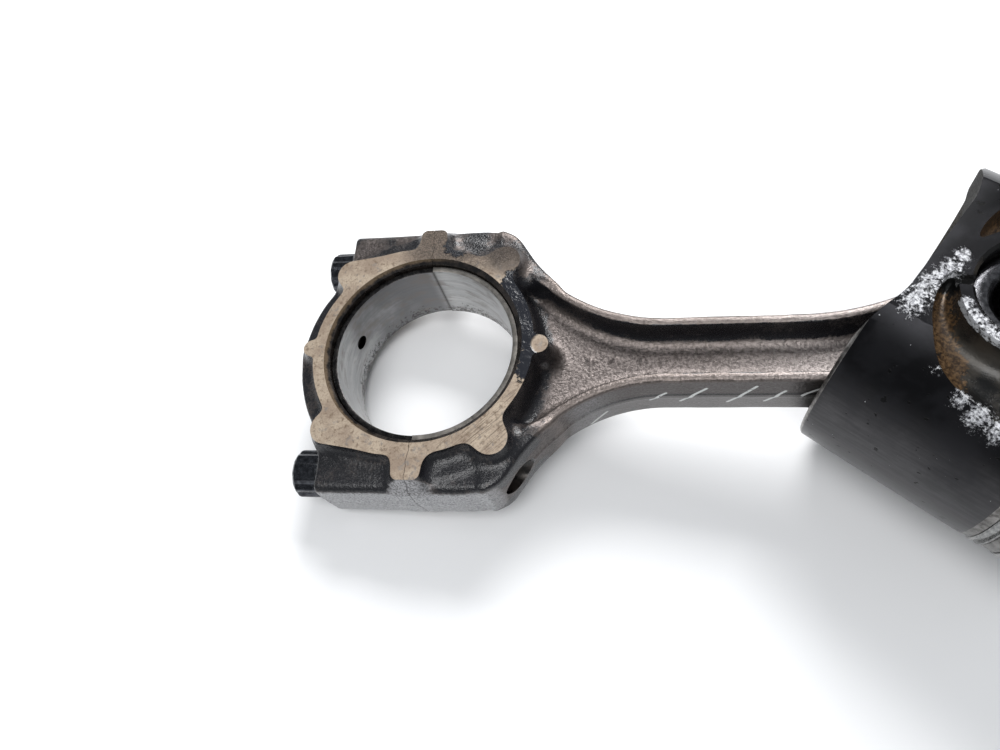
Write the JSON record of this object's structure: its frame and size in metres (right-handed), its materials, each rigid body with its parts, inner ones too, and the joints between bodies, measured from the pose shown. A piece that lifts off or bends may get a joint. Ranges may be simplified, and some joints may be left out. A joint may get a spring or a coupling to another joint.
{
  "type": "connecting rod with piston",
  "caption": "Split connecting rod with bolted cap, plain bearing shells and I-section shank, carrying its piston on a wrist pin that lets the piston swing.",
  "frame": {"origin": "centre of the big-end bore, on the rod's mid plane", "axes": "+X along the rod from the big end to the small end, +Z along both bores, +Y across the rod"},
  "size_m": [0.2442, 0.1068, 0.081],
  "materials": {
    "forged_steel": "oily forged",
    "bolt_steel": "black oxide",
    "bearing_metal": "worn satin",
    "bush_bronze": "satin",
    "pin_steel": "ground",
    "clip_steel": "spring steel",
    "piston_alloy": "graphite coated, sooty",
    "carrier_iron": "turned",
    "ring_iron": "ground",
    "spring_steel": "drawn wire"
  },
  "bodies": {
    "rod": {"rod_body": "forged_steel", "rod_cap": "forged_steel", "cap_bolt_lower": "bolt_steel", "cap_bolt_upper": "bolt_steel", "bearing_shell_rod": "bearing_metal", "bearing_shell_cap": "bearing_metal", "small_end_bush": "bush_bronze"},
    "piston": {"piston": "piston_alloy", "ring_carrier": "carrier_iron", "circlip_lower": "clip_steel", "circlip_upper": "clip_steel"},
    "pin": {"wrist_pin": "pin_steel"},
    "top_ring": {"top_ring": "ring_iron"},
    "second_ring": {"second_ring": "ring_iron"},
    "oil_ring": {"oil_ring": "ring_iron", "oil_ring_spring": "spring_steel"}
  },
  "joints": [
    {"name": "piston_swing", "type": "hinge", "parent": "rod", "child": "piston", "pos_m": [0.146, 0, 0], "axis": [0, 0, 1], "range_deg": [-3, 77]},
    {"name": "pin_turn", "type": "hinge", "parent": "piston", "child": "pin", "pos_m": [0.146, 0, 0], "axis": [0, 0, 1], "continuous": true},
    {"name": "top_ring_turn", "type": "hinge", "parent": "piston", "child": "top_ring", "pos_m": [0.146, 0, 0], "axis": [0.7986, -0.6018, 0], "continuous": true},
    {"name": "second_ring_turn", "type": "hinge", "parent": "piston", "child": "second_ring", "pos_m": [0.146, 0, 0], "axis": [0.7986, -0.6018, 0], "continuous": true},
    {"name": "oil_ring_turn", "type": "hinge", "parent": "piston", "child": "oil_ring", "pos_m": [0.146, 0, 0], "axis": [0.7986, -0.6018, 0], "continuous": true}
  ]
}
